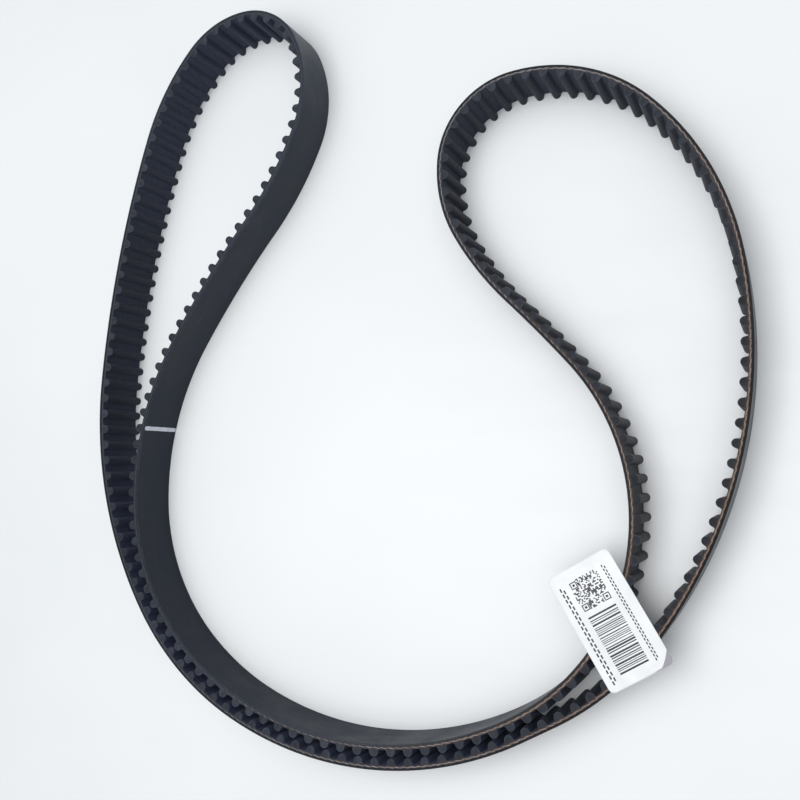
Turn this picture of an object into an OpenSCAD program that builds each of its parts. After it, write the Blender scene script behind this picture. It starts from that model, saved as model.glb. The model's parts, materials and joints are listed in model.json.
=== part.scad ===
// Endless toothed drive belt, standing on one edge and bent by its own spring into a horseshoe.
// The belt line (the centre of the tension cords) is a closed chain of tangent arcs. Each layer of
// the belt is a strip at its own distance from that line, positive towards the toothed side.
// Z runs across the belt's width, z = 0 is the edge it stands on, and the origin is below the
// middle of its outline. Left, right, upper and lower are as seen from above, with y up the page.

/* [Belt] */
// Distance from tooth to tooth along the cords
pitch = 8; // [7.9:0.05:8.1]
// Number of teeth round the belt
tooth_count = 223; // [219:1:228]
// Width of the belt, across the teeth
belt_width = 26; // [20:1:30]
// Distance from the cord centre to the back of the belt
back_depth = 1.46; // [1.4:0.02:1.8]
// Distance from the cord centre to the land between two teeth
cord_to_land = 0.69; // [0.67:0.01:0.75]

/* [Teeth] */
// Height of a tooth above the land
tooth_height = 3.05; // [2.8:0.05:3.1]
// Radius of the round crest of a tooth
crest_radius = 1.9; // [1.7:0.05:2]
// Lean of a tooth's flank from upright
flank_angle = 12; // [8:1:15]
// Radius of the fillet at the foot of a tooth
root_radius = 0.6; // [0.5:0.05:0.7]
// Thickness of the woven facing over the teeth
facing_thickness = 0.2; // [0.18:0.01:0.22]

/* [Cords] */
// Thickness of the layer of wound tension cord
cord_layer = 0.9; // [0.7:0.05:0.9]

/* [Doubled run] */
// Distance between the two cord lines where the strands lie tooth to tooth
strand_gap = 8.1; // [7.9:0.1:8.3]
// Radius of the outer strand at the corner below the narrow loop
corner_radius = 124.7; // [123.5:0.1:125.9]
// Turn of that corner, in degrees
corner_turn = 33.3; // [32.8:0.1:33.8]
// Radius of the outer strand along the base
base_radius = 152.9; // [151.4:0.1:154.4]
// Turn of the base, in degrees
base_turn = 54.3; // [53.8:0.1:54.8]
// Radius of the inner strand where it starts to leave the corner
in_corner_radius = 116.5; // [115.3:0.1:117.7]
// Turn there, in degrees
in_corner_turn = 19.1; // [18.6:0.1:19.6]
// Free space left in each strand at a flexing place
flex_gap = 2; // [1.8:0.1:2.2]

/* [Round loop] */
// Straight length after the base
round_lead = 14.7; // [14.2:0.1:15.2]
// Radius where the outer strand leaves the base
round_foot_radius = 125.4; // [124.1:0.1:126.7]
// Turn there
round_foot_turn = 25.3; // [24.8:0.1:25.8]
// Turn of the long outer side
round_side_turn = 45.9; // [45.4:0.1:46.4]
// Turn of the upper outer side
round_shoulder_turn = 35.5; // [35:0.1:36]
// Radius of the outer part of the crown
round_crown_radius = 69.9; // [69.2:0.1:70.6]
// Turn there
round_crown_turn = 51.7; // [51.2:0.1:52.2]
// Radius of the tight part of the crown
round_nose_radius = 37.2; // [36.7:0.1:37.7]
// Turn there
round_nose_turn = 78.5; // [78:0.1:79]
// Radius where the crown opens into the inner strand
round_cheek_radius = 59.8; // [59.2:0.1:60.4]
// Turn there
round_cheek_turn = 34.5; // [34:0.1:35]
// Radius of the flat inner side
round_flat_radius = 142.1; // [140.7:0.1:143.5]
// Turn there
round_flat_turn = 15.2; // [14.7:0.1:15.7]
// Radius where the strand starts to curve the other way
round_sway_radius = 560.9; // [555.3:0.1:566.5]
// Turn there
round_sway_turn = 3.9; // [3.4:0.1:4.4]
// Turn of the first part of the hollow side
round_hollow_turn = 52.9; // [52.4:0.1:53.4]
// Radius of the last part of the hollow side
round_neck_radius = 97; // [96:0.1:98]

/* [Narrow loop] */
// Turn of the inner strand where it leaves the corner
narrow_neck_turn = 44.6; // [44.1:0.1:45.1]
// Radius of the next part of the inner strand
narrow_sway_radius = 145.4; // [143.9:0.1:146.9]
// Turn there
narrow_sway_turn = 33; // [32.5:0.1:33.5]
// Radius of the nearly straight part
narrow_flat_radius = 507.8; // [502.7:0.1:512.9]
// Turn there
narrow_flat_turn = 7.8; // [7.3:0.1:8.3]
// Radius where the strand starts to close in
narrow_cheek_radius = 161.2; // [159.6:0.1:162.8]
// Turn there
narrow_cheek_turn = 17.3; // [16.8:0.1:17.8]
// Radius of the inner part of the crown
narrow_crown_radius = 55.2; // [54.6:0.1:55.8]
// Turn there
narrow_crown_turn = 47.6; // [47.1:0.1:48.1]
// Radius of the tight part of the crown
narrow_nose_radius = 29.6; // [29.1:0.1:30.1]
// Turn there
narrow_nose_turn = 65.7; // [65.2:0.1:66.2]
// Radius of the outer part of the crown
narrow_brow_radius = 42.3; // [41.8:0.1:42.8]
// Turn there
narrow_brow_turn = 46.5; // [46:0.1:47]
// Radius of the upper outer side
narrow_shoulder_radius = 115.3; // [114.1:0.1:116.5]
// Turn there
narrow_shoulder_turn = 24.5; // [24:0.1:25]
// Radius of the long, nearly straight outer side
narrow_side_radius = 541.5; // [536.1:0.1:546.9]
// Turn there
narrow_side_turn = 13.3; // [12.8:0.1:13.8]

/* [Timing mark] */
// Distance of the painted mark from the start of the corner, along the cords
mark_place = 1212.5; // [1180:1:1250]
// Width of the painted mark along the belt
mark_width = 2.6; // [2:0.1:3.5]
// Thickness of the paint
mark_thickness = 0.08; // [0.05:0.01:0.15]
// Bare belt left at each end of the mark
mark_margin = 0.6; // [0.3:0.1:2]

/* [Label] */
// Length of the paper label
label_length = 50; // [46:1:54]
// Width of the paper label
label_width = 28; // [24:1:31]
// Radius of the label's corners
label_corner = 2.5; // [1:0.5:4]
// Thickness of the label paper
label_thickness = 0.16; // [0.1:0.02:0.2]
// Thickness of the liner under the label
liner_thickness = 0.12; // [0.1:0.02:0.16]
// Direction of the label's long side
label_angle = 120.5; // [116:0.5:126]
// Distance of the label's middle to the right of the outline's middle
label_x = 99.9; // [96:0.1:103]
// Distance of the label's middle in front of the outline's middle
label_y = 107.3; // [104:0.1:110]

/* [Hidden] */

rubber = [0.15, 0.16, 0.17];
tooth_compound = [0.19, 0.2, 0.21];
cloth = [0.1, 0.105, 0.11];
glass_cord = [0.62, 0.52, 0.4];
paint = [0.88, 0.87, 0.92];
paper = [0.95, 0.95, 0.95];
liner_paper = [0.8, 0.81, 0.82];

// heading of the outer strand at the start of the corner, where the belt line starts
start_heading = -58.8;
// belt length that the radii above are given for; they grow with the real length
nominal_length = 1784;
// the facing and the backing stop this far to each side of the cord line
cord_band = 0.5;
// smooth layers have this many flats to a pitch
flats = 3;
// the outline is measured at this many points to a pitch
outline_steps = 8;
// lands of the inner strand that are searched for the one opposite an outer land
search_lands = 32;
// direction, seen from the fillet's centre, where the facing's inside starts at a tooth's foot
core_fillet_start = 26;
// how far the timing mark sinks into the back
mark_sink = 0.01;
// how much longer and wider than the label the liner is, and its shift across the label
liner_extra = [1.4, 1];
liner_shift = 0.4;
// steps in each quarter circle of a sheet's corner
corner_steps = 5;

belt_length = pitch * tooth_count;
grow = belt_length / nominal_length;

// ---- Chains of arcs. An arc is [radius, turn], left turns positive; a straight is [length, 0].

// the first value, then the total after each of the values
function running_totals(values, first) =
    [for (i = 0, total = first; i <= len(values);
          total = i < len(values) ? total + values[i] : total, i = i + 1) total];
function total(values, first) = running_totals(values, first)[len(values)];
function reversed(list) = [for (i = [len(list) - 1:-1:0]) list[i]];

// the direction to the left of a heading
function leftward(heading) = [-sin(heading), cos(heading)];
// travel of an arc with radius 1
function unit_travel(heading, turn) =
    (turn >= 0 ? 1 : -1) * (leftward(heading) - leftward(heading + turn));
function travel(arc, heading) =
    arc[1] == 0 ? arc[0] * [cos(heading), sin(heading)] : arc[0] * unit_travel(heading, arc[1]);
function arc_length(arc) = arc[1] == 0 ? arc[0] : arc[0] * abs(arc[1]) * PI / 180;

function headings(arcs, first) = running_totals([for (arc = arcs) arc[1]], first);
function travels(arcs, first) = let (dirs = headings(arcs, first))
    [for (i = [0:len(arcs) - 1]) travel(arcs[i], dirs[i])];
function lengths(arcs) = [for (arc = arcs) arc_length(arc)];
function chain_travel(arcs, first) = total(travels(arcs, first), [0, 0]);
function chain_length(arcs) = total(lengths(arcs), 0);

// ---- Doubled run: outer strand from left to right, inner strand back again

outer_run = [[corner_radius * grow, corner_turn], [base_radius * grow, base_turn]];
inner_run = [[base_radius * grow - strand_gap, -base_turn],
             [in_corner_radius * grow, -in_corner_turn]];
base_end_heading = start_heading + corner_turn + base_turn;
// from the outer strand to the inner one, at the right end of the base
strand_step = strand_gap * leftward(base_end_heading);

// ---- Narrow loop: from the inner strand's end back to the outer strand's start.
// Two of its radii, neck and foot, follow from closing that gap: the loop is laid out with
// both at zero, and Cramer's rule shares out the travel that is missing.

narrow_heading = base_end_heading + 180 - base_turn - in_corner_turn;
narrow_foot_turn = start_heading + 360 - narrow_heading
    + narrow_neck_turn + narrow_sway_turn + narrow_flat_turn
    - narrow_cheek_turn - narrow_crown_turn - narrow_nose_turn
    - narrow_brow_turn - narrow_shoulder_turn - narrow_side_turn;
function narrow_arcs(neck, foot) = [
    [neck, -narrow_neck_turn],
    [narrow_sway_radius * grow, -narrow_sway_turn],
    [narrow_flat_radius * grow, -narrow_flat_turn],
    [narrow_cheek_radius * grow, narrow_cheek_turn],
    [narrow_crown_radius * grow, narrow_crown_turn],
    [narrow_nose_radius * grow, narrow_nose_turn],
    [narrow_brow_radius * grow, narrow_brow_turn],
    [narrow_shoulder_radius * grow, narrow_shoulder_turn],
    [narrow_side_radius * grow, narrow_side_turn],
    [foot, narrow_foot_turn]];
narrow_fixed = narrow_arcs(0, 0);
narrow_missing = -chain_travel(outer_run, start_heading) - strand_step
    - chain_travel(inner_run, base_end_heading + 180)
    - chain_travel(narrow_fixed, narrow_heading);
neck_unit = unit_travel(narrow_heading, -narrow_neck_turn);
foot_unit = unit_travel(headings(narrow_fixed, narrow_heading)[9], narrow_foot_turn);
narrow_det = cross(neck_unit, foot_unit);
narrow_loop = narrow_arcs(cross(narrow_missing, foot_unit) / narrow_det,
                          cross(neck_unit, narrow_missing) / narrow_det);

// ---- Round loop: from the outer strand to the inner one. It closes in the same way, and also
// takes up the rest of the belt's length. Its radii side, shoulder and hollow follow from that.

round_neck_turn = round_foot_turn + round_side_turn + round_shoulder_turn + round_crown_turn
    + round_nose_turn + round_cheek_turn + round_flat_turn
    - round_sway_turn - round_hollow_turn - 180;
function round_arcs(side, shoulder, hollow) = [
    [round_lead * grow, 0],
    [round_foot_radius * grow, round_foot_turn],
    [side, round_side_turn],
    [shoulder, round_shoulder_turn],
    [round_crown_radius * grow, round_crown_turn],
    [round_nose_radius * grow, round_nose_turn],
    [round_cheek_radius * grow, round_cheek_turn],
    [round_flat_radius * grow, round_flat_turn],
    [round_sway_radius * grow, -round_sway_turn],
    [hollow, -round_hollow_turn],
    [round_neck_radius * grow, -round_neck_turn]];
round_fixed = round_arcs(0, 0, 0);
round_headings = headings(round_fixed, base_end_heading);
// [x, y, length] that is missing, and that arc i of the loop adds for each unit of its radius
round_missing = concat(
    strand_step - chain_travel(round_fixed, base_end_heading),
    [belt_length - chain_length(concat(round_fixed, narrow_loop, outer_run, inner_run))]);
function round_unit(i) = let (turn = round_fixed[i][1])
    concat(unit_travel(round_headings[i], turn), [abs(turn) * PI / 180]);
side_unit = round_unit(2);
shoulder_unit = round_unit(3);
hollow_unit = round_unit(9);
function det3(a, b, c) = a * cross(b, c);
round_det = det3(side_unit, shoulder_unit, hollow_unit);
round_loop = round_arcs(det3(round_missing, shoulder_unit, hollow_unit) / round_det,
                        det3(side_unit, round_missing, hollow_unit) / round_det,
                        det3(side_unit, shoulder_unit, round_missing) / round_det);

// ---- Belt line

line = concat(outer_run, round_loop, inner_run, narrow_loop);
line_headings = headings(line, start_heading);
// where each arc starts, as a distance along the line
line_starts = running_totals(lengths(line), 0);

// index of the arc that holds a distance along the line, by halving
function arc_at(dist, low = 0, high = len(line)) = high - low <= 1 ? low
    : let (mid = floor((low + high) / 2))
      dist >= line_starts[mid] ? arc_at(dist, mid, high) : arc_at(dist, low, mid);

// point at a distance along the line and an offset from it; joints are the arcs' first points
function point_from(joints, along, offset) = let (
    dist = along - belt_length * floor(along / belt_length),
    i = arc_at(dist),
    arc = line[i],
    rest = dist - line_starts[i],
    first = line_headings[i],
    turn = arc[1] == 0 ? 0 : rest / arc[0] * 180 / PI * sign(arc[1]),
    step = arc[1] == 0 ? rest * [cos(first), sin(first)] : arc[0] * unit_travel(first, turn))
    joints[i] + step + offset * leftward(first + turn);

back = -back_depth;
// joints with the line's start at [0, 0], then with the outline's middle there
start_joints = running_totals(travels(line, start_heading), [0, 0]);
outline = [for (k = [0:tooth_count * outline_steps - 1])
    point_from(start_joints, k * pitch / outline_steps, back)];
outline_x = [for (point = outline) point[0]];
outline_y = [for (point = outline) point[1]];
middle = [min(outline_x) + max(outline_x), min(outline_y) + max(outline_y)] / 2;
line_joints = [for (joint = start_joints) joint - middle];
function belt_point(along, offset) = point_from(line_joints, along, offset);

// ---- Spans. The belt flexes in the land between two teeth, at three places of the doubled run.
// Each place is [land on the outer strand, land on the inner strand].

outer_run_end = line_starts[len(outer_run)];
inner_run_start = line_starts[len(outer_run) + len(round_loop)];
// the land of the inner strand that lies across from a land of the outer strand
function opposite(land) = let (
    first = floor(inner_run_start / pitch),
    gaps = [for (k = [first:first + search_lands])
        norm(belt_point(k * pitch, 0) - belt_point(land * pitch, 0))])
    first + search(min(gaps), gaps)[0];
function flex_place(land) = [land, opposite(land)];

right_land = floor(outer_run_end / pitch) - 1;
flex_left = flex_place(0);
flex_middle = flex_place(floor(right_land / 2));
flex_right = flex_place(right_land);

// a span is a list of strands, each [first land, last land]
left_loop_span = [[flex_left[1], tooth_count]];
lower_left_span = [[flex_left[0], flex_middle[0]], [flex_middle[1], flex_left[1]]];
lower_right_span = [[flex_middle[0], flex_right[0]], [flex_right[1], flex_middle[1]]];
right_loop_span = [[flex_right[0], flex_right[1]]];

// a strand's end points, half a flexing gap inside its end lands
function first_point(strand, offset) = belt_point(strand[0] * pitch + flex_gap / 2, offset);
function last_point(strand, offset) = belt_point(strand[1] * pitch - flex_gap / 2, offset);

// ---- Smooth layers

function smooth_line(strand, offset) = concat(
    [first_point(strand, offset)],
    [for (k = [strand[0] * flats + 1:strand[1] * flats - 1])
        belt_point(k * pitch / flats, offset)],
    [last_point(strand, offset)]);

// the solid between two lines that both follow the belt
module layer(upper_line, lower_line) {
    linear_extrude(belt_width)
        polygon(concat(upper_line, reversed(lower_line)));
}

module smooth_layer(span, from, to) {
    for (strand = span)
        layer(smooth_line(strand, to), smooth_line(strand, from));
}

module backing(span) { smooth_layer(span, back, -cord_band); }
module cords(span) { smooth_layer(span, -cord_layer / 2, cord_layer / 2); }

// ---- Toothed layers. Tooth profiles are lists of [along the belt, above the land].

// distance of the root fillet's centre from the middle of the tooth
fillet_x = (crest_radius + root_radius
    - sin(flank_angle) * (root_radius - tooth_height + crest_radius)) / cos(flank_angle);
// Right half of a profile, from foot to crest. It lies inset inside the finished surface, and
// its fillet starts at the angle fillet_start.
function half_tooth(inset, fillet_start) = concat(
    [for (k = [0:2]) let (angle = fillet_start + (90 - flank_angle - fillet_start) * k / 2)
        [fillet_x, root_radius] - (root_radius + inset) * [sin(angle), cos(angle)]],
    [for (k = [0:2]) let (angle = flank_angle + (90 - flank_angle) * k / 3)
        [0, tooth_height - crest_radius] + (crest_radius - inset) * [cos(angle), sin(angle)]]);
function whole_tooth(half, top) =
    concat([for (point = half) [-point[0], point[1]]], [[0, top]], reversed(half));

surface_tooth = whole_tooth(half_tooth(0, 0), tooth_height);
// the inside of the facing drops straight from the fillet to the cord band
core_land = cord_band - cord_to_land;
core_half = half_tooth(facing_thickness, core_fillet_start);
core_foot_x = core_half[0][0];
core_tooth = whole_tooth(concat([[core_foot_x, core_land]], core_half),
                         tooth_height - facing_thickness);

// tooth n stands between land n and land n + 1
function tooth_points(profile, n) =
    [for (point = profile) belt_point((n + 0.5) * pitch + point[0], cord_to_land + point[1])];

// a profile repeated along a strand, with the lands at the height land
function toothed_line(profile, strand, land) = concat(
    [first_point(strand, cord_to_land + land)],
    [for (n = [strand[0]:strand[1] - 1]) each concat(
        n == strand[0] ? [] : [belt_point(n * pitch, cord_to_land + land)],
        tooth_points(profile, n))],
    [last_point(strand, cord_to_land + land)]);

module facing(span) {
    for (strand = span)
        layer(toothed_line(surface_tooth, strand, 0),
              toothed_line(core_tooth, strand, core_land));
}

// separate tooth cores between the facing and the cord band
module tooth_rubber(span) {
    for (strand = span, n = [strand[0]:strand[1] - 1])
        linear_extrude(belt_width)
            polygon(concat(
                tooth_points(core_tooth, n),
                [for (share = [0.5, 0, -0.5])
                    belt_point((n + 0.5) * pitch + core_foot_x * share, cord_band)]));
}

// ---- Nodes

module left_loop_backing() { color(rubber) backing(left_loop_span); }
module left_loop_cords() { color(glass_cord) cords(left_loop_span); }
module left_loop_tooth_rubber() { color(tooth_compound) tooth_rubber(left_loop_span); }
module left_loop_facing() { color(cloth) facing(left_loop_span); }

module lower_left_run_backing() { color(rubber) backing(lower_left_span); }
module lower_left_run_cords() { color(glass_cord) cords(lower_left_span); }
module lower_left_run_tooth_rubber() { color(tooth_compound) tooth_rubber(lower_left_span); }
module lower_left_run_facing() { color(cloth) facing(lower_left_span); }

module lower_right_run_backing() { color(rubber) backing(lower_right_span); }
module lower_right_run_cords() { color(glass_cord) cords(lower_right_span); }
module lower_right_run_tooth_rubber() { color(tooth_compound) tooth_rubber(lower_right_span); }
module lower_right_run_facing() { color(cloth) facing(lower_right_span); }

module right_loop_backing() { color(rubber) backing(right_loop_span); }
module right_loop_cords() { color(glass_cord) cords(right_loop_span); }
module right_loop_tooth_rubber() { color(tooth_compound) tooth_rubber(right_loop_span); }
module right_loop_facing() { color(cloth) facing(right_loop_span); }

// a painted stripe across the smooth back
module timing_mark() {
    half = mark_width / 2;
    color(paint) translate([0, 0, mark_margin])
        linear_extrude(belt_width - 2 * mark_margin)
            polygon(concat(
                [for (side = [-1, 1]) belt_point(mark_place + side * half, back - mark_thickness)],
                [for (side = [1, 0, -1]) belt_point(mark_place + side * half, back - mark_sink)]));
}

// a sheet with round corners, centred on the origin
module rounded_sheet(length, width, thickness) {
    // columns: side in x, side in y, angle where the corner starts
    corners = [[1, 1, 0], [-1, 1, 90], [-1, -1, 180], [1, -1, 270]];
    linear_extrude(thickness)
        polygon([for (corner = corners, k = [0:corner_steps])
            let (angle = corner[2] + k * 90 / corner_steps)
            [corner[0] * (length / 2 - label_corner) + label_corner * cos(angle),
             corner[1] * (width / 2 - label_corner) + label_corner * sin(angle)]]);
}

module at_label(z) {
    translate([label_x, -label_y, z]) rotate([0, 0, label_angle]) children();
}

// the liner sheet lies on the upper edges of both strands, and the label on the liner
module label_liner() {
    color(liner_paper) at_label(belt_width)
        translate([0, liner_shift, 0])
            rounded_sheet(label_length + liner_extra[0], label_width + liner_extra[1],
                          liner_thickness);
}

module paper_label() {
    color(paper) at_label(belt_width + liner_thickness)
        rounded_sheet(label_length, label_width, label_thickness);
}

left_loop_backing();
left_loop_cords();
left_loop_tooth_rubber();
left_loop_facing();
lower_left_run_backing();
lower_left_run_cords();
lower_left_run_tooth_rubber();
lower_left_run_facing();
lower_right_run_backing();
lower_right_run_cords();
lower_right_run_tooth_rubber();
lower_right_run_facing();
right_loop_backing();
right_loop_cords();
right_loop_tooth_rubber();
right_loop_facing();
timing_mark();
label_liner();
paper_label();
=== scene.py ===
"""An endless toothed timing belt with a painted mark and a paper label on its upper edge.

The belt stands on one edge on a table: z = 0 is its lower edge, and the middle of its outline
is at x = y = 0. The teeth are on the inside of the loop. Lengths are in mm unless a name or
comment says metres; make_mesh() turns them into metres.
"""

import json
import math

import bpy
import numpy as np
from mathutils import Matrix, Vector

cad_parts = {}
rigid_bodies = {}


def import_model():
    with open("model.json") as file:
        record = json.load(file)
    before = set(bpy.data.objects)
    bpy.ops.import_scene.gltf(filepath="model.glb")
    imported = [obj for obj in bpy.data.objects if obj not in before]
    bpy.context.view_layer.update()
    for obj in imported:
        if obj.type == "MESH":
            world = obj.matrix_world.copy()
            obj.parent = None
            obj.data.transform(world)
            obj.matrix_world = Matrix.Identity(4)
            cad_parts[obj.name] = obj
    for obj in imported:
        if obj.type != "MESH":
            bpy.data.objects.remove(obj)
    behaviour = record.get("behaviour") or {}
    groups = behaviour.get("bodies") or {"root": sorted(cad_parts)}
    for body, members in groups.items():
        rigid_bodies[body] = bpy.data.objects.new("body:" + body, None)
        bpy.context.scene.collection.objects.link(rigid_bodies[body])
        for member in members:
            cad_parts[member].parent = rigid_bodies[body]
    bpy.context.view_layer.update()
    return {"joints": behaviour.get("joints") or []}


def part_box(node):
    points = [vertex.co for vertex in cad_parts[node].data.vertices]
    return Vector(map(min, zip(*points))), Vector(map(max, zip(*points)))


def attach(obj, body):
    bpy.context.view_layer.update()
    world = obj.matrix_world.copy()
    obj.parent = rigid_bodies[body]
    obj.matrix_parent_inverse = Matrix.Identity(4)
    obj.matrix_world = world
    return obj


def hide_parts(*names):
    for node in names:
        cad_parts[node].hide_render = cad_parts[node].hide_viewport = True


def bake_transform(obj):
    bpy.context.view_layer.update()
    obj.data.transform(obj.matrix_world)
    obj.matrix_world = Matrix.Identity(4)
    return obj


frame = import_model()

# ------------------------------------------------------------------ belt dimensions
# Belt coordinates: s runs along the cord line, o is the distance from it (positive towards the
# teeth) and z runs across the belt.
PITCH, TEETH, WIDTH = 8.0, 223, 26.0
LENGTH = TEETH * PITCH
BACK, LAND, TOOTH = -1.46, 0.69, 3.05  # o of the back, o of the land, tooth height over the land
CREST_R, ROOT_R = 1.9, 0.6
FLANK = math.radians(12.0)
FACING = 0.2  # thickness of the fabric
CORD_EDGE = 0.40  # |o| where the rubber layers meet the cord layer

START_HEADING = -58.8  # degrees
# (radius, turn in degrees); a straight is (length, 0)
ARCS = [
    (124.7, 33.3), (152.9, 54.3), (14.7, 0), (125.4, 25.3), (202.03, 45.9), (119.931, 35.5),
    (69.9, 51.7), (37.2, 78.5), (59.8, 34.5), (142.1, 15.2), (560.9, -3.9), (95.52, -52.9),
    (97, -49.8), (144.8, -54.3), (116.5, -19.1), (100.731, -44.6), (145.4, -33), (507.8, -7.8),
    (161.2, 17.3), (55.2, 47.6), (29.6, 65.7), (42.3, 46.5), (115.3, 24.5), (541.5, 13.3),
    (184.375, 36.3),
]
RADII, TURNS = np.array(ARCS, float).T


def arc_step(radius, heading, turn):
    """Offset from an arc's start; turn is signed, in radians."""
    sign = np.sign(turn)
    return np.stack([radius * sign * (np.sin(heading + turn) - np.sin(heading)),
                     radius * sign * (np.cos(heading) - np.cos(heading + turn))], -1)


def straight_step(length, heading):
    return np.stack([length * np.cos(heading), length * np.sin(heading)], -1)


def line_table():
    """Start point, heading and distance run at each end of the arcs."""
    starts, headings, runs = [np.zeros(2)], [math.radians(START_HEADING)], [0.0]
    for radius, degrees in ARCS:
        heading, turn = headings[-1], math.radians(degrees)
        if degrees == 0:
            step, run = straight_step(radius, heading), radius
        else:
            step, run = arc_step(radius, heading, turn), radius * abs(turn)
        starts.append(starts[-1] + step)
        headings.append(heading + turn)
        runs.append(runs[-1] + run)
    return np.array(starts), np.array(headings), np.array(runs)


STARTS, HEADINGS, RUNS = line_table()
CLOSING_GAP = STARTS[-1] - STARTS[0]


def line_points(s, o):
    """Plan position; the small closing gap is spread evenly round the loop."""
    run = np.mod(np.asarray(s, float), LENGTH) * RUNS[-1] / LENGTH
    i = np.clip(np.searchsorted(RUNS, run, side="right") - 1, 0, len(ARCS) - 1)
    along, heading = run - RUNS[i], HEADINGS[i]
    turn = np.sign(TURNS[i]) * along / RADII[i]
    step = np.where((TURNS[i] == 0)[..., None], straight_step(along, heading),
                    arc_step(RADII[i], heading, turn))
    point = STARTS[i] + step - CLOSING_GAP * (run / RUNS[-1])[..., None]
    heading = heading + turn
    normal = np.stack([-np.sin(heading), np.cos(heading)], -1)
    return point + np.asarray(o, float)[..., None] * normal


outline = line_points(np.arange(0, LENGTH, 1.0), BACK)
MIDDLE = (outline.min(0) + outline.max(0)) / 2


def belt_points(s, o, z):
    s, o, z = np.broadcast_arrays(np.asarray(s, float), np.asarray(o, float),
                                  np.asarray(z, float))
    return np.concatenate([line_points(s, o) - MIDDLE, z[..., None]], -1)


# ------------------------------------------------------------------ variation along the belt
def smooth(low, high, x):
    t = np.clip((np.asarray(x, float) - low) / (high - low), 0, 1)
    return t * t * (3 - 2 * t)


def ripple(s, seed, lowest, highest, terms=14):
    """Smooth periodic noise, about -1 to 1, of lowest to highest waves round the belt."""
    random = np.random.RandomState(seed)
    total = 0
    for _ in range(terms):
        waves = random.randint(lowest, highest)
        size = random.uniform(0.4, 1)
        phase = random.uniform(0, 6.28)
        total = total + size * np.sin(2 * math.pi * waves * s / LENGTH + phase)
    return total / math.sqrt(terms) * 1.1


def grains(s, seed, step=1.0):
    """One random value, -1 to 1, for each step along the belt, the same each time round."""
    count = int(round(LENGTH / step))
    values = np.random.RandomState(seed).uniform(-1, 1, count)
    return values[np.mod(np.round(s / step).astype(int), count)]


def keyed(s, keys):
    """Linear between (s, value) keys in order of s, closed round the belt."""
    places, values = np.array(keys).T
    places = np.concatenate([[places[-1] - LENGTH], places, [places[0] + LENGTH]])
    values = np.concatenate([values[-1:], values, values[:1]])
    return np.interp(np.mod(np.asarray(s, float), LENGTH), places, values)


# ------------------------------------------------------------------ meshes
def make_mesh(name, verts, faces, uv, values, material, sharp, closed=True):
    """faces is a list of (count, corners) index arrays, uv is per loop, values per vertex.

    A closed mesh is turned so that its faces look outwards; sharp is in degrees.
    """
    loops = np.concatenate([f.ravel() for f in faces])
    counts = np.concatenate([np.full(len(f), f.shape[1]) for f in faces])
    begin = np.concatenate([[0], np.cumsum(counts)[:-1]])
    if closed:
        volume = 0.0
        for f in faces:
            for k in range(1, f.shape[1] - 1):
                a, b, c = verts[f[:, 0]], verts[f[:, k]], verts[f[:, k + 1]]
                volume += np.einsum("ij,ij->i", a, np.cross(b, c)).sum()
        if volume < 0:
            order = np.concatenate([np.arange(first + count - 1, first - 1, -1)
                                    for first, count in zip(begin, counts)])
            loops, uv = loops[order], uv[order]
    mesh = bpy.data.meshes.new(name)
    mesh.vertices.add(len(verts))
    mesh.vertices.foreach_set("co", (verts * 0.001).astype(np.float32).ravel())
    mesh.loops.add(len(loops))
    mesh.loops.foreach_set("vertex_index", loops.astype(np.int32))
    mesh.polygons.add(len(counts))
    mesh.polygons.foreach_set("loop_start", begin.astype(np.int32))
    mesh.polygons.foreach_set("loop_total", counts.astype(np.int32))
    mesh.update(calc_edges=True)
    layer = mesh.uv_layers.new(name="UVMap")
    layer.data.foreach_set("uv", uv.astype(np.float32).ravel())
    for key, data in values.items():
        attribute = mesh.attributes.new(key, "FLOAT", "POINT")
        attribute.data.foreach_set("value", data.astype(np.float32))
    mesh.polygons.foreach_set("use_smooth", np.ones(len(counts), bool))
    mesh.set_sharp_from_angle(angle=math.radians(sharp))
    mesh.validate()
    obj = bpy.data.objects.new(name, mesh)
    bpy.context.scene.collection.objects.link(obj)
    mesh.materials.append(material)
    return obj


def grid_quads(rows, columns):
    """The row and column index of every cell's first corner."""
    i, j = np.meshgrid(np.arange(rows), np.arange(columns), indexing="ij")
    return i.ravel(), j.ravel()


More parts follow.
